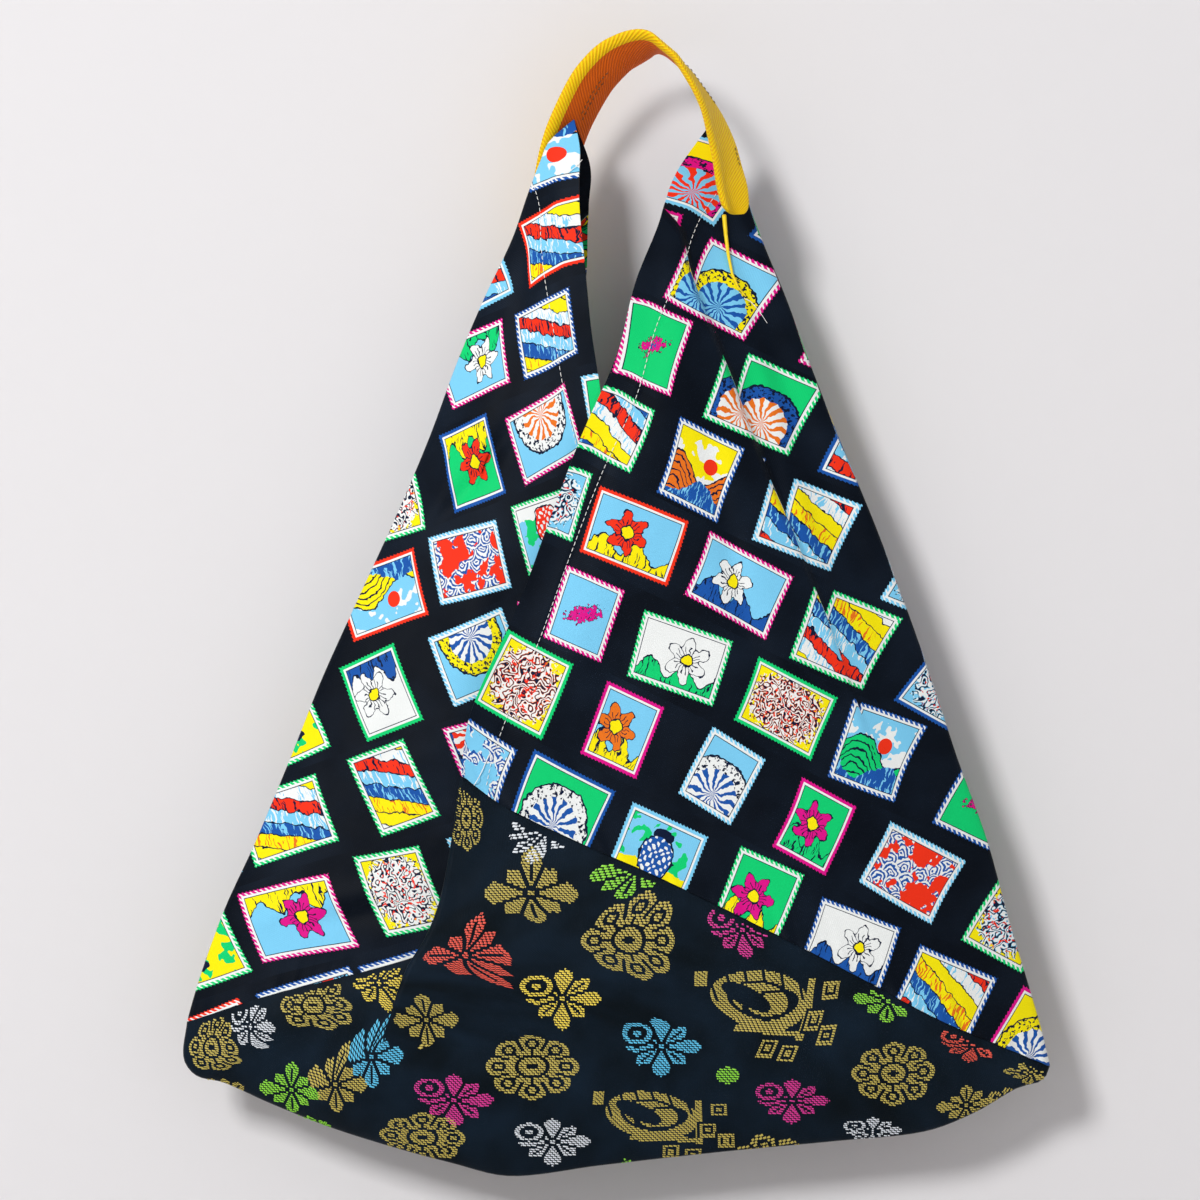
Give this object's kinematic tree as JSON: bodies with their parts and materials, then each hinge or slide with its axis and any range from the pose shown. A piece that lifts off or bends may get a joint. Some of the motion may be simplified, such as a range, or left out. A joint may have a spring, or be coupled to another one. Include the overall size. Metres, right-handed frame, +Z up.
{
  "type": "bento bag",
  "caption": "Soft cloth lunch bag folded from square cloths, with overlapping pointed ears joined by a strap handle; hangs from its handle.",
  "frame": {"origin": "middle of the underside of the handle's top, where the bag hangs", "axes": "+Z up, -Y toward the side seen in the picture, +X to the right in the picture"},
  "size_m": [0.5609, 0.0958, 0.7431],
  "materials": {
    "printed_cotton": "matt printed cotton, dark ground with bright cards",
    "brocade": "dark cloth with a slight sheen and raised woven flowers",
    "yellow_webbing": "matt twill-woven cotton"
  },
  "bodies": {
    "root": {"left_panel": "printed_cotton", "base_panel": "brocade", "right_panel": "printed_cotton", "handle": "yellow_webbing"}
  },
  "joints": []
}
